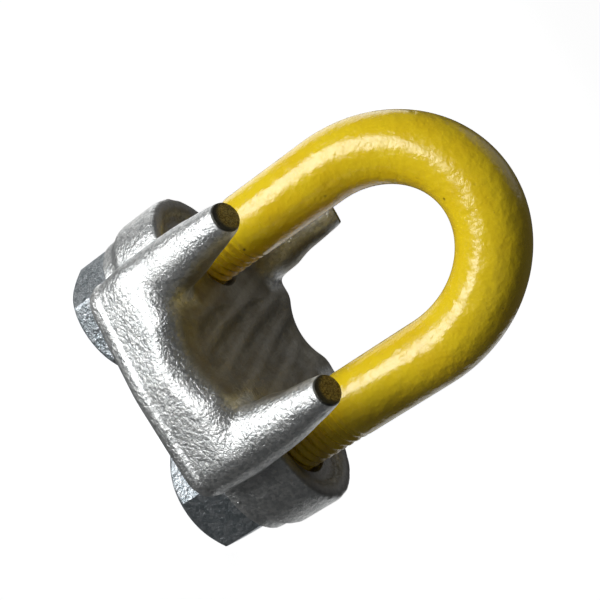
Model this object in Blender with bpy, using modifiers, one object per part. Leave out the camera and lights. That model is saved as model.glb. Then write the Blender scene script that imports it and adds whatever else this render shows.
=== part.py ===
"""Drop-forged wire rope clip: a bent round-rod U-bolt, a forged saddle that cradles the rope, and two hex nuts.

The clip stands crown up on the ends of its legs. +Z runs toward the crown, X from leg to leg, and the
rope passes through along Y, between the saddle's valley and the crown. Lengths are in metres.
"""

import math

import bmesh
import bpy
from mathutils import Matrix, Vector

# U-bolt
ROD_RADIUS = 0.0111
LEG_SPACING = 0.0658
LEG_LENGTH = 0.0955  # from the leg ends to the springing of the crown
CROWN_RISE = 0.0383  # from the springing to the top of the rod's centre line
CROWN_SWELL = 1.05  # the upset crown is this much thicker than the legs
CROWN_STEPS = 36
THREAD_LENGTH = 0.0620
THREAD_RADIUS = 0.01095
LEG_END_CHAMFER = 0.0016
ROD_SIDES_RESOLUTION = 12  # gives a rod of 28 sides

# Nuts
NUT_ACROSS_FLATS = 0.0365
NUT_HEIGHT = 0.0177
NUT_BOTTOM = 0.0025
NUT_CORNER_DROP = 0.0022  # how far the chamfer comes down a corner
NUT_BORE_CLEARANCE = 0.0003
NUT_MOUTH = 0.0012
NUT_CORNER_TURN = {"nut_left": math.radians(12), "nut_right": math.radians(30)}
ROUND_SIDES = 48

# Saddle. A lobe is the hull of some balls, each (x, y, z, radius), mirrored to all four corners.
GAP = 0.0003
SEAT_Z = NUT_BOTTOM + NUT_HEIGHT + GAP
HORN_LOBE = (
    (0.0289, 0.0396, 0.0750, 0.0056),
    (0.0286, 0.0355, 0.0580, 0.0085),
    (0.0283, 0.0330, 0.0420, 0.0097),
    (0.0283, 0.0275, 0.0370, 0.0092),
    (0.0283, 0.0300, 0.0290, 0.0088),
)
RIM_LOBE = (
    (0.0290, 0.0345, 0.0390, 0.0088),
    (0.0290, 0.0325, 0.0265, 0.0080),
    (0.0, 0.0370, 0.0400, 0.0088),
    (0.0, 0.0350, 0.0265, 0.0080),
    (0.0290, -0.0010, 0.0390, 0.0088),
    (0.0290, -0.0010, 0.0265, 0.0080),
)
WEB_LOBE = ((0.0283, -0.0250, 0.0395, 0.0092), (0.0283, 0.0250, 0.0395, 0.0092))
EAR_DISH_Z = 0.0418
EAR_DISH_TURN = 0.0148  # radius of the circle that the dish's edge balls stand on
EAR_DISH_EDGE = 0.0040
EAR_DISH_STEPS = 6
BALL_DETAIL = 3
HORN_TOP_Z = 0.0776  # the horns are sheared here, on a slope that faces up and outward
HORN_SHEAR_Y = 0.0400
HORN_SHEAR_SLOPE = math.radians(24)
VALLEY_Z = 0.0455  # bottom of the rope valley
VALLEY_RADIUS = 0.0220
VALLEY_OPENING = 0.0240  # half-width of the valley at the horn tips
MOUTH_START = 0.0325  # |y| where the valley begins to flare
MOUTH_RADIUS = 0.0130
MOUTH_SIDE_SHARE = 0.35  # how much of the flare goes into the side walls
MOUTH_STEPS = 7
EAR_RADIUS = 0.0236
EAR_BOTTOM_Z = 0.0265
EAR_BLANK_TOP_Z = 0.0455
PAD_RADIUS = 0.0216
BORE_RADIUS = 0.0126
FORGING_VOXEL = 0.0012
FORGING_SMOOTHING = 12
FORGING_KEEP = 0.085  # share of the faces left by the last decimation

LEG_X = LEG_SPACING / 2
CUTTER_REACH = 0.2


def clear_scene():
    for obj in list(bpy.data.objects):
        bpy.data.objects.remove(obj, do_unlink=True)


def new_collection(name):
    collection = bpy.data.collections.new(name)
    bpy.context.scene.collection.children.link(collection)
    return collection


def material(name, colour, metallic, roughness):
    made = bpy.data.materials.new(name)
    made.use_nodes = True
    shader = made.node_tree.nodes["Principled BSDF"]
    shader.inputs["Base Color"].default_value = (*colour, 1.0)
    shader.inputs["Metallic"].default_value = metallic
    shader.inputs["Roughness"].default_value = roughness
    return made


def mesh_object(name, bm, collection):
    """An object in this collection, holding this bmesh."""
    bmesh.ops.recalc_face_normals(bm, faces=bm.faces)
    mesh = bpy.data.meshes.new(name)
    bm.to_mesh(mesh)
    bm.free()
    obj = bpy.data.objects.new(name, mesh)
    collection.objects.link(obj)
    return obj


def cutter_object(name, bm, collection):
    obj = mesh_object(name, bm, collection)
    obj.hide_render = True
    obj.display_type = "WIRE"
    return obj


def boolean(obj, operation, other):
    modifier = obj.modifiers.new(f"{operation.lower()} {other.name}", "BOOLEAN")
    modifier.operation = operation
    modifier.object = other
    modifier.solver = "EXACT"


def bake_modifiers(obj):
    """Makes the object's evaluated shape its own mesh and drops its modifiers."""
    graph = bpy.context.evaluated_depsgraph_get()
    mesh = bpy.data.meshes.new_from_object(obj.evaluated_get(graph))
    obj.modifiers.clear()
    obj.data = mesh


def cylinder(radius, low, high, sides=ROUND_SIDES, top_radius=None):
    """A bmesh cylinder or cone along Z between two heights."""
    bm = bmesh.new()
    bmesh.ops.create_cone(
        bm,
        cap_ends=True,
        segments=sides,
        radius1=radius,
        radius2=radius if top_radius is None else top_radius,
        depth=high - low,
        matrix=Matrix.Translation((0, 0, (low + high) / 2)),
    )
    return bm


def box(low, high):
    bm = bmesh.new()
    low, high = Vector(low), Vector(high)
    size = Matrix.Diagonal((*(high - low), 1))
    bmesh.ops.create_cube(bm, size=1, matrix=Matrix.Translation((low + high) / 2) @ size)
    return bm


def moved(bm, matrix):
    bmesh.ops.transform(bm, matrix=matrix, verts=bm.verts)
    return bm


def rod_route():
    """(point, radius share) along the U-bolt from the left leg's end to the right leg's."""
    thread_share = THREAD_RADIUS / ROD_RADIUS
    leg = [
        (0.0, thread_share - LEG_END_CHAMFER / ROD_RADIUS),
        (LEG_END_CHAMFER, thread_share),
        (THREAD_LENGTH, thread_share),
        (THREAD_LENGTH + 2 * (ROD_RADIUS - THREAD_RADIUS), 1.0),
        (LEG_LENGTH - ROD_RADIUS, 1.0),
    ]
    route = [(Vector((-LEG_X, 0, z)), share) for z, share in leg]
    for step in range(CROWN_STEPS + 1):
        angle = math.pi * (1 - step / CROWN_STEPS)
        point = Vector((LEG_X * math.cos(angle), 0, LEG_LENGTH + CROWN_RISE * math.sin(angle)))
        route.append((point, 1 + (CROWN_SWELL - 1) * math.sin(angle) ** 2))
    return route + [(Vector((LEG_X, 0, z)), share) for z, share in reversed(leg)]


def make_u_bolt(collection, paint):
    """The rod as a bevelled curve, then made a welded mesh."""
    route = rod_route()
    curve = bpy.data.curves.new("u_bolt_route", "CURVE")
    curve.dimensions = "3D"
    curve.bevel_depth = ROD_RADIUS
    curve.bevel_resolution = ROD_SIDES_RESOLUTION
    curve.use_fill_caps = True
    spline = curve.splines.new("POLY")
    spline.points.add(len(route) - 1)
    for point, (place, share) in zip(spline.points, route):
        point.co = (*place, 1)
        point.radius = share
    guide = bpy.data.objects.new("u_bolt_route", curve)
    collection.objects.link(guide)
    graph = bpy.context.evaluated_depsgraph_get()
    mesh = bpy.data.meshes.new_from_object(guide.evaluated_get(graph))
    bm = bmesh.new()
    bm.from_mesh(mesh)
    bmesh.ops.remove_doubles(bm, verts=bm.verts, dist=1e-6)
    bolt = mesh_object("u_bolt", bm, collection)
    bolt.matrix_world = guide.matrix_world
    bpy.data.objects.remove(guide, do_unlink=True)
    bolt.data.materials.append(paint)
    bolt.data.shade_smooth()
    bolt.data.set_sharp_from_angle(angle=math.radians(30))
    return bolt


def turned(name, profile, collection):
    """A cutter turned about Z from a profile of (radius, z) points that runs down its outer side."""
    mesh = bpy.data.meshes.new(name)
    edges = [(i, i + 1) for i in range(len(profile) - 1)]
    mesh.from_pydata([(radius, 0, z) for radius, z in profile], edges, [])
    obj = bpy.data.objects.new(name, mesh)
    collection.objects.link(obj)
    obj.hide_render = True
    obj.display_type = "WIRE"
    screw = obj.modifiers.new("turn", "SCREW")
    screw.steps = screw.render_steps = ROUND_SIDES
    screw.use_merge_vertices = True
    screw.merge_threshold = 1e-6
    bake_modifiers(obj)
    bm = bmesh.new()
    bm.from_mesh(obj.data)
    bmesh.ops.recalc_face_normals(bm, faces=bm.faces)
    bm.to_mesh(obj.data)
    bm.free()
    return obj


def nut_cutters(collection):
    """The coned envelope that chamfers a nut's corners, and its bore with countersunk mouths."""
    corner = NUT_ACROSS_FLATS / math.sqrt(3)
    flat = NUT_ACROSS_FLATS / 2 * 0.97
    low, high = NUT_BOTTOM, NUT_BOTTOM + NUT_HEIGHT
    reach = corner + 0.0005
    drop = NUT_CORNER_DROP * (reach - flat) / (corner - flat)
    envelope = [(0, high), (flat, high), (reach, high - drop), (reach, low + drop), (flat, low), (0, low)]
    bore = THREAD_RADIUS + NUT_BORE_CLEARANCE
    past = 0.002
    hole = [
        (0, high + past),
        (bore + NUT_MOUTH + past, high + past),
        (bore, high - NUT_MOUTH),
        (bore, low + NUT_MOUTH),
        (bore + NUT_MOUTH + past, low - past),
        (0, low - past),
    ]
    return turned("nut_envelope", envelope, collection), turned("nut_bore", hole, collection)


def make_nut(name, x, collection, cutters, zinc):
    envelope, bore = nut_cutters(cutters)
    corner = NUT_ACROSS_FLATS / math.sqrt(3)
    bm = cylinder(corner, NUT_BOTTOM, NUT_BOTTOM + NUT_HEIGHT, sides=6)
    # create_cone puts its first corner on +Y, and corners are counted from +X
    moved(bm, Matrix.Rotation(NUT_CORNER_TURN[name] - math.pi / 2, 4, "Z"))
    nut = mesh_object(name, bm, collection)
    boolean(nut, "INTERSECT", envelope)
    boolean(nut, "DIFFERENCE", bore)
    bake_modifiers(nut)
    nut.location.x = x
    nut.data.materials.append(zinc)
    return nut


def lobe_bmesh(balls, side_x, side_y, bridged=False):
    """The convex hull of some balls, mirrored to one side, or bridged across to its own mirror image in X."""
    bm = bmesh.new()
    for side in (-1, 1) if bridged else (side_x,):
        for x, y, z, radius in balls:
            place = Matrix.Translation((side * x, side_y * y, z))
            bmesh.ops.create_icosphere(bm, subdivisions=BALL_DETAIL, radius=radius, matrix=place)
    bmesh.ops.delete(bm, geom=list(bm.edges) + list(bm.faces), context="EDGES_FACES")
    bmesh.ops.convex_hull(bm, input=bm.verts)
    bmesh.ops.delete(bm, geom=[v for v in bm.verts if not v.link_faces], context="VERTS")
    return bm


def ear_dish():
    """The balls round the outer side of a leg whose hull sinks the ear's top, leaving a low rim."""
    balls = []
    for step in range(EAR_DISH_STEPS + 1):
        a = math.pi * (step / EAR_DISH_STEPS - 0.5)
        x, y = LEG_X + EAR_DISH_TURN * math.cos(a), EAR_DISH_TURN * math.sin(a)
        balls += [(x, y, z, EAR_DISH_EDGE) for z in (EAR_DISH_Z + EAR_DISH_EDGE, HORN_TOP_Z)]
    return balls


def valley_outline(swell):
    """The rope valley as (x, z) points, deeper by swell: a half round that opens toward the horn tips."""
    radius = VALLEY_RADIUS + MOUTH_SIDE_SHARE * swell
    centre_z = VALLEY_Z + radius - swell
    steps = 28
    points = []
    for step in range(steps + 1):
        angle = math.pi * (1 + step / steps)
        points.append((radius * math.cos(angle), centre_z + radius * math.sin(angle)))
    top = HORN_TOP_Z + MOUTH_RADIUS
    opening = VALLEY_OPENING + MOUTH_SIDE_SHARE * swell
    return points + [(opening, top), (-opening, top)]


def valley_bmesh():
    """The valley as a tunnel of rings along Y that flare at both mouths."""
    half = [(0.0, 0.0)]
    for step in range(MOUTH_STEPS + 1):
        angle = math.pi / 2 * 0.98 * step / MOUTH_STEPS
        half.append((MOUTH_START + MOUTH_RADIUS * math.sin(angle), MOUTH_RADIUS * (1 - math.cos(angle))))
    half.append((MOUTH_START + 2 * MOUTH_RADIUS, half[-1][1]))
    stations = [(-y, swell) for y, swell in reversed(half[1:])] + half
    bm = bmesh.new()
    rings = [[bm.verts.new((x, y, z)) for x, z in valley_outline(swell)] for y, swell in stations]
    count = len(rings[0])
    for ring, following in zip(rings, rings[1:]):
        for i in range(count):
            j = (i + 1) % count
            bm.faces.new((ring[i], ring[j], following[j], following[i]))
    bm.faces.new(rings[0])
    bm.faces.new(rings[-1])
    return bm


def shear_bmesh(side_y):
    """The slab above the sloping plane that cuts the horns off on one side."""
    slab = box((-CUTTER_REACH, -CUTTER_REACH / 4, 0), (CUTTER_REACH, CUTTER_REACH / 4, CUTTER_REACH / 2))
    turn = Matrix.Rotation(-side_y * HORN_SHEAR_SLOPE, 4, "X")
    return moved(slab, Matrix.Translation((0, side_y * HORN_SHEAR_Y, HORN_TOP_Z)) @ turn)


def on_leg(bm, side_x):
    return moved(bm, Matrix.Translation((side_x * LEG_X, 0, 0)))


def make_saddle(collection, cutters, zinc):
    """The forging: lobes joined, cut to the valley and ears, softened, then bored and faced."""
    saddle = mesh_object("saddle", lobe_bmesh(RIM_LOBE, 1, 1, bridged=True), collection)
    rim_back = lobe_bmesh(RIM_LOBE, 1, -1, bridged=True)
    boolean(saddle, "UNION", cutter_object("rim_back", rim_back, cutters))
    for side_x in (-1, 1):
        ear = on_leg(cylinder(EAR_RADIUS, EAR_BOTTOM_Z, EAR_BLANK_TOP_Z), side_x)
        pad = on_leg(cylinder(PAD_RADIUS, SEAT_Z - 0.002, (EAR_BOTTOM_Z + EAR_BLANK_TOP_Z) / 2), side_x)
        boolean(saddle, "UNION", cutter_object(f"ear_{side_x:+d}", ear, cutters))
        boolean(saddle, "UNION", cutter_object(f"pad_{side_x:+d}", pad, cutters))
    for side_x in (-1, 1):
        for side_y in (-1, 1):
            horn = cutter_object(f"horn_{side_x:+d}_{side_y:+d}", lobe_bmesh(HORN_LOBE, side_x, side_y), cutters)
            boolean(saddle, "UNION", horn)
        boolean(saddle, "UNION", cutter_object(f"web_{side_x:+d}", lobe_bmesh(WEB_LOBE, side_x, 1), cutters))
    boolean(saddle, "DIFFERENCE", cutter_object("valley", valley_bmesh(), cutters))
    for side_x in (-1, 1):
        boolean(saddle, "DIFFERENCE", cutter_object(f"dish_{side_x:+d}", lobe_bmesh(ear_dish(), side_x, 1), cutters))
    soften(saddle)
    for side_x in (-1, 1):
        bore = on_leg(cylinder(BORE_RADIUS, 0, HORN_TOP_Z), side_x)
        boolean(saddle, "DIFFERENCE", cutter_object(f"bore_{side_x:+d}", bore, cutters))
    reach = Vector((CUTTER_REACH, CUTTER_REACH, 0))
    below = box(Vector((0, 0, SEAT_Z - CUTTER_REACH)) - reach, Vector((0, 0, SEAT_Z)) + reach)
    boolean(saddle, "DIFFERENCE", cutter_object("seat_plane", below, cutters))
    for side_y in (-1, 1):
        boolean(saddle, "DIFFERENCE", cutter_object(f"horn_shear_{side_y:+d}", shear_bmesh(side_y), cutters))
    bake_modifiers(saddle)
    saddle.data.materials.append(zinc)
    return saddle


def soften(saddle):
    """Rounds every edge of the joined primitives, as forging dies do."""
    remesh = saddle.modifiers.new("one skin", "REMESH")
    remesh.mode = "VOXEL"
    remesh.voxel_size = FORGING_VOXEL
    smooth = saddle.modifiers.new("soft edges", "SMOOTH")
    smooth.factor = 0.5
    smooth.iterations = FORGING_SMOOTHING
    fewer = saddle.modifiers.new("fewer faces", "DECIMATE")
    fewer.ratio = FORGING_KEEP


def main():
    clear_scene()
    clip = new_collection("wire_rope_clip")
    cutters = new_collection("cutters")
    paint = material("yellow_paint", (0.72, 0.47, 0.01), 0.0, 0.3)
    forged_zinc = material("galvanised_forging", (0.55, 0.56, 0.55), 0.9, 0.45)
    nut_zinc = material("galvanised_nut", (0.42, 0.45, 0.48), 0.9, 0.5)
    make_u_bolt(clip, paint)
    make_saddle(clip, cutters, forged_zinc)
    make_nut("nut_left", -LEG_X, clip, cutters, nut_zinc)
    make_nut("nut_right", LEG_X, clip, cutters, nut_zinc)


main()
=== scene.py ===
"""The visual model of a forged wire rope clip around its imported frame: a yellow painted U-bolt, a
galvanised saddle and two galvanised nuts, on a pale floor in soft studio light. Lengths are in metres."""

import math

import bmesh
import bpy
import numpy as np
from mathutils import Matrix, Vector


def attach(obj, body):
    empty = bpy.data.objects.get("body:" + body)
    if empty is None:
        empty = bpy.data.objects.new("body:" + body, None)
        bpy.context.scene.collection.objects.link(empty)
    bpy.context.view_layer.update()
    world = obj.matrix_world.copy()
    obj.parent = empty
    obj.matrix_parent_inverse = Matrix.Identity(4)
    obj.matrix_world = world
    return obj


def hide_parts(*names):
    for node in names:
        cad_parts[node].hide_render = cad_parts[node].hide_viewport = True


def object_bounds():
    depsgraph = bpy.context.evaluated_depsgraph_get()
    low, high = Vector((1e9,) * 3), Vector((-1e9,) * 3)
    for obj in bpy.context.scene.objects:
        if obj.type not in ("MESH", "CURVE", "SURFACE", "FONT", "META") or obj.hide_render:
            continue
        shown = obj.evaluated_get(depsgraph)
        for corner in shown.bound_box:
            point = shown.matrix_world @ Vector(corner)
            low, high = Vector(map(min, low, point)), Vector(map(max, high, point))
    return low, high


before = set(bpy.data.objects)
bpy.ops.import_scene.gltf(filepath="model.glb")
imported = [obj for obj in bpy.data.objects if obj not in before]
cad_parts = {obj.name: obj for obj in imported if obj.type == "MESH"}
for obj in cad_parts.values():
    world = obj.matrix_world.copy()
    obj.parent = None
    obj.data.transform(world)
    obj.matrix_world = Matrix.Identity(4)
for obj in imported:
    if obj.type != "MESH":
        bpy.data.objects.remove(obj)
CAD_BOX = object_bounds()

# U-bolt
LEG_X = 0.0329
LEG_LENGTH = 0.0955
CROWN_RISE = 0.0383
CROWN_SWELL = 1.05
ROD_RADIUS = 0.0111
THREAD_LENGTH = 0.0620
THREAD_RADIUS = 0.01095
THREAD_DEPTH = 0.00155
THREAD_ROOT_SHARE = 0.12  # half of the flat at the thread's root, as a share of half the pitch
THREAD_FLANK_SHARE = 0.72
PITCH = 0.0254 / 9  # 7/8-9 UNC
LEG_END_CHAMFER = 0.0016
RUNOUT_START = THREAD_LENGTH - 0.6 * PITCH  # the thread fades out from here
RUNOUT_END = THREAD_LENGTH + 0.9 * PITCH
PAINT_FILL = 0.45  # share of the thread's depth that paint takes, near its top
PAINT_FILL_Z = (0.030, 0.047)
ROD_SIDES = 72
CROWN_STEPS = 120
CHAMFER_STEPS = 6
PLAIN_LEG_STEPS = 12
THREAD_STEPS = 16  # rings for each turn of the thread
ROD_SHARP = math.radians(50)

# Nuts
NUT_BOTTOM = 0.0025
NUT_HEIGHT = 0.0177
NUT_ACROSS_FLATS = 0.0365
NUT_TURN = {"nut_left": math.radians(12), "nut_right": math.radians(30)}
NUT_BORE_CLEARANCE = 0.00030
NUT_THREAD_DEPTH = 0.00070  # truncated, so it passes the paint that fills the top of the leg's thread
NUT_THREAD_STEPS = 10
NUT_BORE_SIDES = 48
NUT_MOUTH = 0.0012
NUT_CORNER_DROP = 0.0026  # how far the chamfer comes down a corner
NUT_FACE_SHARE = 0.965  # radius of the end face, as a share of half the width across flats
NUT_VOXEL = 0.00042
NUT_SMOOTHING = 3
NUT_SHARP = math.radians(42)

# Saddle: lobes are hulls of balls, each (x, y, z, radius), mirrored to the other corners
SEAT_Z = 0.0205
HORN_LOBE = (
    (0.0289, 0.0396, 0.0750, 0.0056),
    (0.0286, 0.0355, 0.0580, 0.0085),
    (0.0283, 0.0330, 0.0420, 0.0097),
    (0.0283, 0.0275, 0.0370, 0.0092),
    (0.0283, 0.0300, 0.0290, 0.0088),
)
RIM_LOBE = (
    (0.0290, 0.0345, 0.0390, 0.0088),
    (0.0290, 0.0325, 0.0265, 0.0080),
    (0.0, 0.0370, 0.0400, 0.0088),
    (0.0, 0.0350, 0.0265, 0.0080),
    (0.0290, -0.0010, 0.0390, 0.0088),
    (0.0290, -0.0010, 0.0265, 0.0080),
)
WEB_LOBE = ((0.0283, -0.0250, 0.0395, 0.0092), (0.0283, 0.0250, 0.0395, 0.0092))
EAR_DISH_Z = 0.0418
EAR_DISH_TURN = 0.0148  # radius of the circle that the dish's edge balls stand on
EAR_DISH_EDGE = 0.0040
EAR_DISH_STEPS = 6
HORN_TOP_Z = 0.0776
HORN_SHEAR_Y = 0.0400
HORN_SHEAR_SLOPE = math.radians(24)
VALLEY_Z = 0.0455
VALLEY_RADIUS = 0.0220
VALLEY_OPENING = 0.0240
MOUTH_START = 0.0325
MOUTH_RADIUS = 0.0130
MOUTH_SIDE_SHARE = 0.35
MOUTH_STEPS = 10
EAR_RADIUS = 0.0236
EAR_BOTTOM_Z = 0.0265
EAR_BLANK_TOP_Z = 0.0455
PAD_RADIUS = 0.0216
BORE_RADIUS = 0.0126
FORGING_VOXEL = 0.0012
FORGING_SMOOTHING = 12
FORGING_SHARP = math.radians(38)
LAY_ANGLE = math.radians(20)
LAY_SPACING = 0.0091
LAY_DEPTH = 0.0008
HORN_SHEAR_LEVEL = HORN_TOP_Z + HORN_SHEAR_Y * math.tan(HORN_SHEAR_SLOPE)  # z + |y| tan(slope) on the cut
HORN_TIP_X, HORN_TIP_Y = HORN_LOBE[0][0], HORN_LOBE[0][1] - 0.0008  # middle of the cut
LIP_Z = 0.0262  # the parting line, below which the foot of the saddle's side stands out
LIP_STEP = 0.0006
REACH = 0.2  # longer than anything that a cutter has to clear
ROUND_SIDES = 96
VALLEY_SIDES = 48
BALL_DETAIL = 4
SOFTENING = 0.5  # strength of each smoothing step

# Camera
CAMERA_AT = Vector((0.0588, -0.3772, 0.2270))
CAMERA_FORWARD = Vector((-0.1499, 0.9098, -0.3869)).normalized()
CAMERA_RIGHT = Vector((0.5042, 0.4070, 0.7617))
CAMERA_LENS = 78.7
CAMERA_SENSOR = 36

# Lights: the direction toward each one, its distance, its disk's size and its power in watts
LIGHTS = {
    "key": (Vector((-0.50, -0.82, -0.28)), 0.9, 0.62, 8),
    "top": (Vector((-0.3, 0.6, 0.8)), 1.1, 0.9, 0.8),
    "back": (Vector((0.45, 0.8, -0.3)), 1.2, 0.9, 1.5),
    "side": (Vector((-0.75, 0.55, -0.15)), 1.1, 0.9, 2.6),
    "fill": (Vector((0.6, -0.8, 0.3)), 1.2, 0.8, 0.10),
}
LIGHT_TARGET = Vector((0, 0, 0.06))
WORLD_LIGHT = 0.05
FLOOR_GLOW = 0.93
FLOOR_RADIUS = 4.0
FLOOR_GAP = 0.0002


# ---- mesh helpers


def scratch(name, bm):
    """A new mesh object from a bmesh, which it uses up. Cutters made this way are removed by bake()."""
    bmesh.ops.recalc_face_normals(bm, faces=bm.faces)
    mesh = bpy.data.meshes.new(name)
    bm.to_mesh(mesh)
    bm.free()
    obj = bpy.data.objects.new(name, mesh)
    bpy.context.scene.collection.objects.link(obj)
    return obj


def boolean(obj, operation, cutter):
    """Adds an exact boolean modifier, which bake() applies later."""
    modifier = obj.modifiers.new(cutter.name, "BOOLEAN")
    modifier.operation = operation
    modifier.object = cutter
    modifier.solver = "EXACT"


def bake(obj, *cutters):
    """Applies the object's modifiers and removes the objects they used."""
    graph = bpy.context.evaluated_depsgraph_get()
    mesh = bpy.data.meshes.new_from_object(obj.evaluated_get(graph))
    obj.modifiers.clear()
    obj.data = mesh
    for cutter in cutters:
        bpy.data.objects.remove(cutter, do_unlink=True)


def cylinder(radius, low, high, x=0.0):
    """An upright cylinder between two heights."""
    bm = bmesh.new()
    place = Matrix.Translation((x, 0, (low + high) / 2))
    depth = high - low
    bmesh.ops.create_cone(
        bm, cap_ends=True, segments=ROUND_SIDES, radius1=radius, radius2=radius, depth=depth, matrix=place
    )
    return bm


def box(low, high, place):
    """A box between two corners, put in its place by a matrix."""
    bm = bmesh.new()
    low, high = Vector(low), Vector(high)
    size = Matrix.Diagonal((*(high - low), 1))
    bmesh.ops.create_cube(bm, size=1, matrix=place @ Matrix.Translation((low + high) / 2) @ size)
    return bm


def lobe(balls, side_x, side_y, bridged=False):
    """The convex hull of some balls, mirrored to one side, or bridged across to its own mirror image in X."""
    bm = bmesh.new()
    for side in (-1, 1) if bridged else (side_x,):
        for x, y, z, radius in balls:
            place = Matrix.Translation((side * x, side_y * y, z))
            bmesh.ops.create_icosphere(bm, subdivisions=BALL_DETAIL, radius=radius, matrix=place)
    bmesh.ops.delete(bm, geom=list(bm.edges) + list(bm.faces), context="EDGES_FACES")
    bmesh.ops.convex_hull(bm, input=bm.verts)
    bmesh.ops.delete(bm, geom=[v for v in bm.verts if not v.link_faces], context="VERTS")
    return bm


def loft(rings):
    """A tube through rings of points, capped at its ends."""
    bm = bmesh.new()
    rows = [[bm.verts.new(p) for p in ring] for ring in rings]
    count = len(rows[0])
    for ring, following in zip(rows, rows[1:]):
        for i in range(count):
            j = (i + 1) % count
            bm.faces.new((ring[i], ring[j], following[j], following[i]))
    bm.faces.new(rows[0])
    bm.faces.new(rows[-1])
    return bm


def soften(obj, voxel, smoothing):
    """Adds the modifiers that give a mesh one even skin and round its edges."""
    remesh = obj.modifiers.new("skin", "REMESH")
    remesh.mode = "VOXEL"
    remesh.voxel_size = voxel
    smooth = obj.modifiers.new("soften", "SMOOTH")
    smooth.factor = SOFTENING
    smooth.iterations = smoothing


def shade(obj, sharp):
    """Smooth shading, with a hard edge wherever two faces meet at more than an angle."""
    obj.data.shade_smooth()
    obj.data.set_sharp_from_angle(angle=sharp)


def vertices(obj):
    """The mesh's vertices as rows of x, y, z."""
    co = np.empty(len(obj.data.vertices) * 3)
    obj.data.vertices.foreach_get("co", co)
    return co.reshape(-1, 3)


def set_vertices(obj, co):
    obj.data.vertices.foreach_set("co", np.ascontiguousarray(co).reshape(-1))
    obj.data.update()


def smoothstep(low, high, x):
    """Eases from 0 at low to 1 at high, or back down where low is the larger."""
    t = np.clip((x - low) / (high - low), 0, 1)
    return t * t * (3 - 2 * t)


# ---- U-bolt


def thread_profile(phase):
    """How far the thread is cut, as a share of its depth, at a phase of 0 to 1 along one pitch."""
    away = np.abs((phase % 1.0) - 0.5) * 2
    return 1 - np.clip((away - THREAD_ROOT_SHARE) / THREAD_FLANK_SHARE, 0, 1)


def rod_stations():
    """Along the rod from the left leg's end to the right's: place, direction, swell, and whether on a leg."""
    leg_z = list(np.linspace(0, LEG_END_CHAMFER, CHAMFER_STEPS))
    leg_z += list(np.arange(LEG_END_CHAMFER, THREAD_LENGTH + 3 * PITCH, PITCH / THREAD_STEPS)[1:])
    leg_z += list(np.linspace(leg_z[-1], LEG_LENGTH, PLAIN_LEG_STEPS)[1:-1])
    stations = [(Vector((-LEG_X, 0, z)), Vector((0, 0, 1)), 1.0, True) for z in leg_z]
    for step in range(CROWN_STEPS + 1):
        a = math.pi * (1 - step / CROWN_STEPS)
        point = Vector((LEG_X * math.cos(a), 0, LEG_LENGTH + CROWN_RISE * math.sin(a)))
        along = Vector((LEG_X * math.sin(a), 0, -CROWN_RISE * math.cos(a))).normalized()
        stations.append((point, along, 1 + (CROWN_SWELL - 1) * math.sin(a) ** 2, False))
    stations += [(Vector((LEG_X, 0, z)), Vector((0, 0, -1)), 1.0, True) for z in reversed(leg_z)]
    return stations


def threaded_radius(z, around, side):
    """The leg's radius round one ring, as the helix, its run-out, the paint and the chamfer leave it."""
    fade = 1 - smoothstep(RUNOUT_START, RUNOUT_END, z)
    paint = 1 - PAINT_FILL * smoothstep(*PAINT_FILL_Z, z)
    turn = np.arctan2(np.sin(around), np.cos(around) * side)
    phase = z / PITCH - turn / (2 * math.pi)
    crest = ROD_RADIUS + (THREAD_RADIUS - ROD_RADIUS) * fade
    radius = crest - THREAD_DEPTH * paint * fade * thread_profile(phase)
    return np.minimum(radius, THREAD_RADIUS - LEG_END_CHAMFER + z)


def make_u_bolt():
    """The rod as rings along its route, finely spaced on the legs, whose radius follows the helix."""
    around = np.linspace(0, 2 * math.pi, ROD_SIDES, endpoint=False)
    depth = Vector((0, 1, 0))
    rings = []
    for point, along, swell, on_leg in rod_stations():
        outward = depth.cross(along)  # radial direction in the plane of the U
        radius = np.full(ROD_SIDES, ROD_RADIUS * swell)
        if on_leg:
            radius = threaded_radius(point.z, around, outward.x)
        polar = zip(radius, around)
        rings.append([point + outward * (r * math.cos(a)) + depth * (r * math.sin(a)) for r, a in polar])
    bolt = scratch("painted_u_bolt", loft(rings))
    shade(bolt, ROD_SHARP)
    return bolt


# ---- nuts


def turned(name, profile):
    """A solid turned about Z from a profile of (radius, z) points."""
    rows = []
    bm = bmesh.new()
    for side in range(ROUND_SIDES):
        a = 2 * math.pi * side / ROUND_SIDES
        rows.append([bm.verts.new((r * math.cos(a), r * math.sin(a), z)) for r, z in profile])
    for side in range(ROUND_SIDES):
        ring, following = rows[side], rows[(side + 1) % ROUND_SIDES]
        for i in range(len(profile) - 1):
            bm.faces.new((ring[i], ring[i + 1], following[i + 1], following[i]))
    bmesh.ops.remove_doubles(bm, verts=bm.verts, dist=1e-7)
    return scratch(name, bm)


def tapped_bore(name):
    """The cutter for a nut's bore: a helical thread with countersunk mouths."""
    low, high = NUT_BOTTOM, NUT_BOTTOM + NUT_HEIGHT
    past = 0.002  # how far the cutter runs out of each end
    crest = THREAD_RADIUS + NUT_BORE_CLEARANCE
    around = np.linspace(0, 2 * math.pi, NUT_BORE_SIDES, endpoint=False)
    length = high - low + 2 * past
    steps = int(length / (PITCH / NUT_THREAD_STEPS))
    rings = []
    for step in range(steps + 1):
        z = low - past + length * step / steps
        cut = thread_profile(z / PITCH - around / (2 * math.pi))
        mouth = crest + NUT_MOUTH - min(z - low, high - z)
        radius = np.maximum(crest - NUT_THREAD_DEPTH * cut, mouth)
        rings.append([(r * math.cos(a), r * math.sin(a), z) for r, a in zip(radius, around)])
    return scratch(name, loft(rings))


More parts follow.
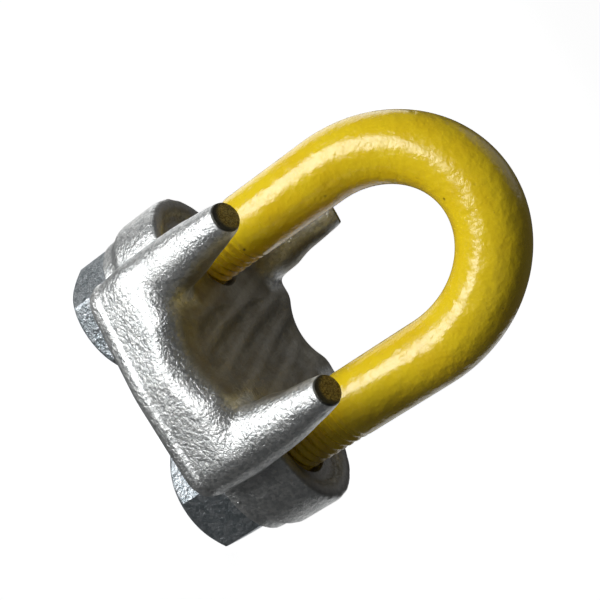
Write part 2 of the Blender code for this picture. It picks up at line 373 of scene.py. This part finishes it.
def chamfer_envelope(name, corner, low, high):
    """The turned solid that a nut is trimmed to, which takes off its corners at both ends."""
    inner = NUT_ACROSS_FLATS / 2 * NUT_FACE_SHARE
    past = corner + 0.0006
    rise = NUT_CORNER_DROP * (past - inner) / (corner - inner)
    upper = [(0, high), (inner, high), (past, high - rise)]
    lower = [(past, low + rise), (inner, low), (0, low)]
    return turned(name, upper + lower)


def make_nut(node, x):
    """A hex prism, its corners chamfered by a cone and its edges softened as galvanising does."""
    corner = NUT_ACROSS_FLATS / math.sqrt(3)
    low, high = NUT_BOTTOM, NUT_BOTTOM + NUT_HEIGHT
    bm = bmesh.new()
    turn = Matrix.Rotation(NUT_TURN[node] - math.pi / 2, 4, "Z")
    place = Matrix.Translation((0, 0, (low + high) / 2)) @ turn
    bmesh.ops.create_cone(
        bm, cap_ends=True, segments=6, radius1=corner, radius2=corner, depth=high - low, matrix=place
    )
    nut = scratch(f"galvanised_{node}", bm)
    envelope = chamfer_envelope(f"{node}_envelope", corner, low, high)
    boolean(nut, "INTERSECT", envelope)
    bake(nut, envelope)
    soften(nut, NUT_VOXEL, NUT_SMOOTHING)
    bore = tapped_bore(f"{node}_bore")
    boolean(nut, "DIFFERENCE", bore)
    bake(nut, bore)
    co = vertices(nut)
    co[:, 0] += x
    co[:, 2] = np.clip(co[:, 2], low, high)
    set_vertices(nut, co)
    shade(nut, NUT_SHARP)
    return nut


# ---- saddle


def ear_dish():
    """The balls round the outer side of a leg whose hull sinks the ear's top, leaving a low rim."""
    balls = []
    for step in range(EAR_DISH_STEPS + 1):
        a = math.pi * (step / EAR_DISH_STEPS - 0.5)
        x, y = LEG_X + EAR_DISH_TURN * math.cos(a), EAR_DISH_TURN * math.sin(a)
        balls += [(x, y, z, EAR_DISH_EDGE) for z in (EAR_DISH_Z + EAR_DISH_EDGE, HORN_TOP_Z)]
    return balls


def valley_rings():
    """The rope valley as rings along Y that flare at both mouths."""
    half = [(0.0, 0.0)]
    for step in range(MOUTH_STEPS + 1):
        a = math.pi / 2 * 0.98 * step / MOUTH_STEPS
        half.append((MOUTH_START + MOUTH_RADIUS * math.sin(a), MOUTH_RADIUS * (1 - math.cos(a))))
    half.append((MOUTH_START + 2 * MOUTH_RADIUS, half[-1][1]))
    stations = [(-y, swell) for y, swell in reversed(half[1:])] + half
    top = HORN_TOP_Z + MOUTH_RADIUS
    rings = []
    for y, swell in stations:
        radius = VALLEY_RADIUS + MOUTH_SIDE_SHARE * swell
        centre_z = VALLEY_Z + radius - swell
        angles = [math.pi * (1 + side / VALLEY_SIDES) for side in range(VALLEY_SIDES + 1)]
        ring = [(radius * math.cos(a), y, centre_z + radius * math.sin(a)) for a in angles]
        opening = VALLEY_OPENING + MOUTH_SIDE_SHARE * swell
        rings.append(ring + [(opening, y, top), (-opening, y, top)])
    return rings


def rope_lay_grooves(co, normals):
    """How deep each point lies in the soft grooves that seat a rope's strands, along their lay."""
    x, y, z = co.T
    angle = np.arctan2(x, VALLEY_Z + VALLEY_RADIUS - z)  # round the valley, 0 at its bottom
    reach = np.hypot(x, VALLEY_Z + VALLEY_RADIUS - z)
    inward = normals[:, 2] - np.sign(x) * normals[:, 0]
    on_valley = smoothstep(0.0240, 0.0228, reach) * smoothstep(0.3, 0.6, inward)
    phase = (angle * VALLEY_RADIUS + math.tan(LAY_ANGLE) * y) / LAY_SPACING
    wave = 0.5 + 0.5 * np.cos(2 * math.pi * phase)
    ends = 1 - smoothstep(0.026, 0.036, np.abs(y))
    sides = 1 - smoothstep(0.85, 1.15, np.abs(angle))
    return on_valley * ends * sides * wave


def base_lip(co, normals):
    """How far the foot of the saddle's side stands out below its parting line."""
    side = smoothstep(0.75, 0.45, np.abs(normals[:, 2]))
    off_ears = smoothstep(0.020, 0.027, np.abs(co[:, 1]))
    return side * off_ears * (1 - smoothstep(LIP_Z - 0.0005, LIP_Z + 0.0005, co[:, 2]))


def forging_blank():
    """The saddle's lobes joined, and cut to the valley and the ear dishes."""
    saddle = scratch("galvanised_saddle", lobe(RIM_LOBE, 1, 1, bridged=True))
    used = [scratch("rim_back", lobe(RIM_LOBE, 1, -1, bridged=True))]
    for side_x in (-1, 1):
        x = side_x * LEG_X
        pad_top = (EAR_BOTTOM_Z + EAR_BLANK_TOP_Z) / 2
        used.append(scratch("ear", cylinder(EAR_RADIUS, EAR_BOTTOM_Z, EAR_BLANK_TOP_Z, x)))
        used.append(scratch("pad", cylinder(PAD_RADIUS, SEAT_Z - 0.002, pad_top, x)))
    for side_x in (-1, 1):
        for side_y in (-1, 1):
            used.append(scratch("horn", lobe(HORN_LOBE, side_x, side_y)))
        used.append(scratch("web", lobe(WEB_LOBE, side_x, 1)))
    for solid in used:
        boolean(saddle, "UNION", solid)
    cuts = [scratch("valley", loft(valley_rings()))]
    cuts += [scratch("dish", lobe(ear_dish(), side_x, 1)) for side_x in (-1, 1)]
    for cut in cuts:
        boolean(saddle, "DIFFERENCE", cut)
    bake(saddle, *used, *cuts)
    return saddle


def press_details(saddle):
    """Presses the rope-lay grooves into the valley and raises the lip round the foot."""
    co = vertices(saddle)
    normals = np.empty(len(co) * 3)
    saddle.data.vertices.foreach_get("normal", normals)
    normals = normals.reshape(-1, 3)
    step = LIP_STEP * base_lip(co, normals) - LAY_DEPTH * rope_lay_grooves(co, normals)
    set_vertices(saddle, co + normals * step[:, None])


def machine(saddle):
    """Cuts what is machined after forging: the two bores, the flat seat and the sheared horn tips."""
    tools = [scratch("bore", cylinder(BORE_RADIUS, 0, HORN_TOP_Z, side_x * LEG_X)) for side_x in (-1, 1)]
    tools.append(scratch("seat_plane", box((-REACH, -REACH, -REACH), (REACH, REACH, SEAT_Z), Matrix())))
    for side_y in (-1, 1):
        tip = Matrix.Translation((0, side_y * HORN_SHEAR_Y, HORN_TOP_Z))
        turn = Matrix.Rotation(-side_y * HORN_SHEAR_SLOPE, 4, "X")
        above = box((-REACH, -REACH / 4, 0), (REACH, REACH / 4, REACH / 2), tip @ turn)
        tools.append(scratch("shear", above))
    for tool in tools:
        boolean(saddle, "DIFFERENCE", tool)
    bake(saddle, *tools)


def make_saddle():
    """The forging: its blank is softened, grooved and lipped, then bored and faced."""
    saddle = forging_blank()
    soften(saddle, FORGING_VOXEL, FORGING_SMOOTHING)
    finer = saddle.modifiers.new("finer", "SUBSURF")
    finer.levels = finer.render_levels = 1
    bake(saddle)
    press_details(saddle)
    machine(saddle)
    shade(saddle, FORGING_SHARP)
    return saddle


# ---- materials


class Nodes:
    """Short names for building a material's nodes."""

    def __init__(self, name):
        self.material = bpy.data.materials.new(name)
        self.material.use_nodes = True
        self.tree = self.material.node_tree
        self.shader = self.tree.nodes["Principled BSDF"]
        self.where = self.add("ShaderNodeTexCoord").outputs["Object"]

    def add(self, kind, **settings):
        node = self.tree.nodes.new(kind)
        for key, value in settings.items():
            setattr(node, key, value)
        return node

    def put(self, socket, value):
        if isinstance(value, bpy.types.NodeSocket):
            self.tree.links.new(value, socket)
        else:
            socket.default_value = value

    def noise(self, scale, detail=4.0, roughness=0.55, distortion=0.0):
        node = self.add("ShaderNodeTexNoise")
        self.put(node.inputs["Vector"], self.where)
        node.inputs["Scale"].default_value = scale
        node.inputs["Detail"].default_value = detail
        node.inputs["Roughness"].default_value = roughness
        node.inputs["Distortion"].default_value = distortion
        return node.outputs["Fac"]

    def cells(self, scale, output="Distance"):
        node = self.add("ShaderNodeTexVoronoi")
        self.put(node.inputs["Vector"], self.where)
        node.inputs["Scale"].default_value = scale
        return node.outputs[output]

    def math(self, operation, a, b=0.0, clamp=False):
        node = self.add("ShaderNodeMath", operation=operation, use_clamp=clamp)
        self.put(node.inputs[0], a)
        self.put(node.inputs[1], b)
        return node.outputs[0]

    def times(self, a, b):
        return self.math("MULTIPLY", a, b)

    def plus(self, a, b):
        return self.math("ADD", a, b)

    def distance(self, a, b):
        """The length of the hypotenuse over two sides."""
        return self.math("SQRT", self.plus(self.math("POWER", a, 2.0), self.math("POWER", b, 2.0)))

    def ramp(self, value, low, high, to_low=0.0, to_high=1.0):
        node = self.add("ShaderNodeMapRange", interpolation_type="SMOOTHSTEP")
        self.put(node.inputs["Value"], value)
        for key, number in (("From Min", low), ("From Max", high), ("To Min", to_low), ("To Max", to_high)):
            node.inputs[key].default_value = number
        return node.outputs["Result"]

    def mix(self, share, a, b):
        node = self.add("ShaderNodeMix", data_type="RGBA")
        self.put(node.inputs["Factor"], share)
        for socket, colour in ((node.inputs[6], a), (node.inputs[7], b)):
            self.put(socket, colour if isinstance(colour, bpy.types.NodeSocket) else (*colour, 1.0))
        return node.outputs[2]

    def bump(self, height, distance, strength=1.0, normal=None):
        node = self.add("ShaderNodeBump")
        node.inputs["Strength"].default_value = strength
        node.inputs["Distance"].default_value = distance
        self.put(node.inputs["Height"], height)
        if normal is not None:
            self.put(node.inputs["Normal"], normal)
        return node.outputs["Normal"]

    def split(self, vector=None):
        node = self.add("ShaderNodeSeparateXYZ")
        self.put(node.inputs[0], vector or self.where)
        return node.outputs

    def normal_split(self):
        geometry = self.add("ShaderNodeNewGeometry")
        return self.split(geometry.outputs["Normal"])

    def pointiness(self):
        return self.add("ShaderNodeNewGeometry").outputs["Pointiness"]


def yellow_paint():
    """Glossy enamel over a galvanised rod, with orange peel, pits, and grime and bare zinc in the threads."""
    n = Nodes("yellow_enamel")
    z = n.split()["Z"]
    pits = n.times(n.ramp(n.cells(130), 0.10, 0.02), n.ramp(n.noise(45, 3), 0.52, 0.60))
    grime = n.times(n.ramp(z, 0.068, 0.040), n.ramp(n.noise(160, 5, 0.65), 0.35, 0.65))
    bare = n.times(n.ramp(z, 0.036, 0.030), n.ramp(n.noise(210, 5, 0.7), 0.30, 0.52))
    speck = n.ramp(n.noise(900, 3, 0.7), 0.66, 0.76)

    base = n.mix(n.ramp(n.noise(70, 5, 0.6), 0.35, 0.7), (0.90, 0.66, 0.014), (0.85, 0.58, 0.010))
    base = n.mix(n.times(speck, 0.35), base, (0.30, 0.16, 0.01))
    base = n.mix(n.times(grime, 0.6), base, (0.36, 0.20, 0.008))
    base = n.mix(n.times(pits, 0.8), base, (0.16, 0.09, 0.01))
    base = n.mix(bare, base, (0.42, 0.43, 0.42))
    n.put(n.shader.inputs["Base Color"], base)
    n.put(n.shader.inputs["Metallic"], n.times(bare, 0.85))

    rough = n.plus(n.ramp(n.noise(240, 4, 0.6), 0.3, 0.75, 0.17, 0.32), n.times(grime, 0.15))
    n.put(n.shader.inputs["Roughness"], n.math("ADD", rough, n.times(bare, 0.12), clamp=True))
    n.shader.inputs["Coat Weight"].default_value = 0.35
    n.shader.inputs["Coat Roughness"].default_value = 0.12

    normal = n.bump(n.plus(n.noise(480, 3, 0.5), n.times(n.noise(190, 2, 0.5), 1.4)), 0.00030)
    normal = n.bump(n.noise(1300, 2, 0.5), 0.00003, 0.6, normal)
    normal = n.bump(n.math("SUBTRACT", 1.0, pits), 0.0001, 1.0, normal)
    n.put(n.shader.inputs["Normal"], normal)
    return n.material


def galvanised(name, bright, dark, grain, rough_low, rough_high):
    """The nodes of hot-dip zinc: crystalline grain, painted shade in hollows and a painted highlight along
    convex edges.
    """
    n = Nodes(name)
    spangle = n.add("ShaderNodeSeparateColor")
    n.put(spangle.inputs[0], n.cells(grain, "Color"))
    patch = n.noise(55, 6, 0.62)
    # edge: a painted highlight, lighter colour along convex edges
    edge = n.ramp(n.pointiness(), 0.505, 0.56)
    # painted shade: darker colour in concave places
    hollow_shade = n.ramp(n.pointiness(), 0.49, 0.43)
    soot = n.ramp(n.noise(420, 5, 0.72), 0.55, 0.72)

    shade_share = n.plus(n.times(spangle.outputs[0], 0.45), n.times(patch, 0.55))
    base = n.mix(n.ramp(shade_share, 0.28, 0.68), dark, bright)
    # painted highlight: the convex edges lightened
    base = n.mix(n.times(edge, 0.5), base, tuple(min(1.0, c * 1.25) for c in bright))
    # painted shade: the concave places darkened towards 0.4 of the dark tone
    base = n.mix(n.times(hollow_shade, 0.7), base, tuple(c * 0.4 for c in dark))
    base = n.mix(n.times(soot, 0.5), base, tuple(c * 0.55 for c in dark))
    n.put(n.shader.inputs["Base Color"], base)
    n.shader.inputs["Metallic"].default_value = 0.92

    rough_share = n.plus(n.times(n.noise(700, 4, 0.7), 0.6), n.times(patch, 0.4))
    n.put(n.shader.inputs["Roughness"], n.ramp(rough_share, 0.35, 0.65, rough_low, rough_high))
    crust = n.plus(n.noise(950, 4, 0.6, distortion=0.3), n.times(n.noise(420, 3, 0.5), 0.6))
    normal = n.bump(crust, 0.00042)
    normal = n.bump(n.noise(150, 3, 0.5), 0.0005, 0.5, normal)
    n.put(n.shader.inputs["Normal"], normal)
    return n


def valley_shade_and_dullness(n, x, z, across, along):
    """Where the rope valley gets its painted shade, its painted reflection of the yellow rod and a duller
    finish; the patch runs on between the bores.
    """
    reach = n.distance(x, n.math("SUBTRACT", z, VALLEY_Z + VALLEY_RADIUS))
    valley = n.times(n.ramp(reach, 0.0262, 0.0236), n.ramp(along, 0.0425, 0.0375))
    between = n.times(n.ramp(across, 0.0330, 0.0290), n.ramp(along, 0.0290, 0.0230))
    between = n.times(between, n.ramp(z, 0.0425, 0.0445))
    return n.times(n.math("MAXIMUM", valley, between), n.ramp(n.noise(120, 5, 0.65), 0.3, 0.7, 0.80, 1.0))


def valley_shade_and_reflection_colour(n, x, y, along):
    """Olive grey painted shade with a painted reflection of the yellow rod, lighter on the ridges between the
    rope-lay grooves, which paints shade into the grooves.
    """
    round_valley = 2 * math.pi / LAY_SPACING
    turn = n.plus(n.times(x, round_valley), n.times(y, round_valley * math.tan(LAY_ANGLE)))
    # ridge: a painted highlight on the ridges and painted shade in the grooves between them
    ridge = n.times(n.ramp(n.math("COSINE", turn), 0.2, -1.0), n.ramp(along, 0.036, 0.024))
    olive = n.mix(n.noise(85, 5, 0.65), (0.20, 0.18, 0.135), (0.33, 0.305, 0.25))
    return n.mix(n.times(ridge, 0.55), olive, (0.47, 0.445, 0.39))


def tip_colour(n, across, along):
    """The sheared horn tip: streaked brown steel with a dark edge."""
    streak = n.noise(900, 4, 0.7, distortion=2.0)
    cut = n.mix(n.ramp(streak, 0.42, 0.58), (0.20, 0.15, 0.04), (0.50, 0.40, 0.14))
    away = n.distance(n.math("SUBTRACT", across, HORN_TIP_X), n.math("SUBTRACT", along, HORN_TIP_Y))
    return n.mix(n.ramp(away, 0.0034, 0.0050), cut, (0.075, 0.075, 0.065))


def saddle_zinc():
    """The saddle's zinc: olive painted shade and painted reflection of the yellow rod in the rope valley,
    brown-grey painted shade on the ear tops, brown at the horn tips.
    """
    n = galvanised("galvanised_forging", (0.86, 0.87, 0.86), (0.60, 0.62, 0.62), 900, 0.30, 0.44)
    base = n.shader.inputs["Base Color"].links[0].from_socket
    rough = n.shader.inputs["Roughness"].links[0].from_socket
    x, y, z = n.split()
    across, along = n.math("ABSOLUTE", x), n.math("ABSOLUTE", y)

    valley = valley_shade_and_dullness(n, x, z, across, along)
    # ear: the upward-facing ear tops, whose brown-grey colour is painted shade
    ear = n.times(n.ramp(across, 0.0235, 0.0265), n.ramp(n.normal_split()["Z"], 0.55, 0.85))
    ear = n.times(ear, n.ramp(z, 0.060, 0.052))
    level = n.plus(z, n.times(along, math.tan(HORN_SHEAR_SLOPE)))
    tip = n.ramp(level, HORN_SHEAR_LEVEL - 0.0009, HORN_SHEAR_LEVEL - 0.0004)

    # painted shade, tinted by a painted reflection of the yellow rod, over the rope valley
    base = n.mix(valley, base, valley_shade_and_reflection_colour(n, x, y, along))
    # painted shade on the upward-facing ear tops
    ear_top_shade_colour = n.mix(n.noise(300, 5, 0.7), (0.22, 0.21, 0.20), (0.42, 0.41, 0.40))
    base = n.mix(n.times(ear, 0.85), base, ear_top_shade_colour)
    base = n.mix(tip, base, tip_colour(n, across, along))
    n.put(n.shader.inputs["Base Color"], base)
    dull = n.math("MAXIMUM", n.math("MAXIMUM", valley, n.times(ear, 0.8)), tip)
    n.put(n.shader.inputs["Roughness"], n.math("ADD", rough, n.times(dull, 0.14), clamp=True))
    return n.material


def nut_zinc():
    """The nuts' zinc, darker and smoother than the saddle's."""
    return galvanised("galvanised_nut", (0.58, 0.62, 0.65), (0.36, 0.41, 0.44), 650, 0.26, 0.42).material


def paint_over(obj, material):
    """Gives a piece its material."""
    obj.data.materials.clear()
    obj.data.materials.append(material)


# ---- stage


def area_light(name, toward, distance, size, power):
    """A round light that faces the clip from a direction."""
    light = bpy.data.lights.new(name, "AREA")
    light.shape = "DISK"
    light.size = size
    light.energy = power
    obj = bpy.data.objects.new(name, light)
    bpy.context.scene.collection.objects.link(obj)
    obj.location = LIGHT_TARGET + toward.normalized() * distance
    obj.rotation_euler = toward.to_track_quat("Z", "Y").to_euler()


def seen_by_camera(tree, seen, otherwise):
    """A strength that differs between what the camera sees directly and what lights the object."""
    path = tree.nodes.new("ShaderNodeLightPath")
    strength = tree.nodes.new("ShaderNodeMapRange")
    strength.inputs["To Min"].default_value = otherwise
    strength.inputs["To Max"].default_value = seen
    tree.links.new(path.outputs["Is Camera Ray"], strength.inputs["Value"])
    return strength.outputs["Result"]


def make_floor():
    """A pale disk that looks nearly white and casts nothing, because the key light stands lower than it."""
    bm = bmesh.new()
    bmesh.ops.create_circle(bm, cap_ends=True, segments=ROUND_SIDES, radius=FLOOR_RADIUS)
    floor = scratch("floor", bm)
    floor.location.z = CAD_BOX[0][2] - FLOOR_GAP
    n = Nodes("pale_floor")
    n.put(n.shader.inputs["Base Color"], n.mix(n.noise(3, 3), (0.90, 0.90, 0.90), (0.93, 0.93, 0.93)))
    n.put(n.shader.inputs["Roughness"], n.ramp(n.noise(40, 2), 0.3, 0.7, 0.75, 0.9))
    n.shader.inputs["Emission Color"].default_value = (1, 1, 1, 1)
    n.put(n.shader.inputs["Emission Strength"], seen_by_camera(n.tree, FLOOR_GLOW, 0.0))
    floor.data.materials.append(n.material)
    floor.visible_shadow = floor.visible_glossy = False


def make_stage():
    """The floor, the lights and a white world that lights the clip only a little."""
    make_floor()
    for name, (toward, distance, size, power) in LIGHTS.items():
        area_light(name, toward, distance, size, power)
    world = bpy.data.worlds.new("studio")
    bpy.context.scene.world = world
    world.use_nodes = True
    back = world.node_tree.nodes["Background"]
    back.inputs["Color"].default_value = (1, 1, 1, 1)
    world.node_tree.links.new(seen_by_camera(world.node_tree, 1.0, WORLD_LIGHT), back.inputs["Strength"])
    bpy.context.scene.view_settings.view_transform = "Standard"


def make_camera():
    """The camera, from its place, the way it looks and the direction to its right."""
    right = (CAMERA_RIGHT - CAMERA_FORWARD * CAMERA_RIGHT.dot(CAMERA_FORWARD)).normalized()
    up = right.cross(CAMERA_FORWARD)
    data = bpy.data.cameras.new("camera")
    data.lens = CAMERA_LENS
    data.sensor_width = CAMERA_SENSOR
    data.clip_start = 0.01
    camera = bpy.data.objects.new("camera", data)
    bpy.context.scene.collection.objects.link(camera)
    axes = Matrix((right, up, -CAMERA_FORWARD)).transposed().to_4x4()
    camera.matrix_world = Matrix.Translation(CAMERA_AT) @ axes
    bpy.context.scene.camera = camera


def build():
    """Makes each piece, hides the CAD node it replaces and rides it on that node's body."""
    bolt = make_u_bolt()
    paint_over(bolt, yellow_paint())
    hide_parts("u_bolt")
    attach(bolt, "u_bolt")
    saddle = make_saddle()
    paint_over(saddle, saddle_zinc())
    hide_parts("saddle")
    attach(saddle, "saddle")
    zinc = nut_zinc()
    for node, x in (("nut_left", -LEG_X), ("nut_right", LEG_X)):
        nut = make_nut(node, x)
        paint_over(nut, zinc)
        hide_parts(node)
        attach(nut, node)
    make_stage()
    make_camera()


build()
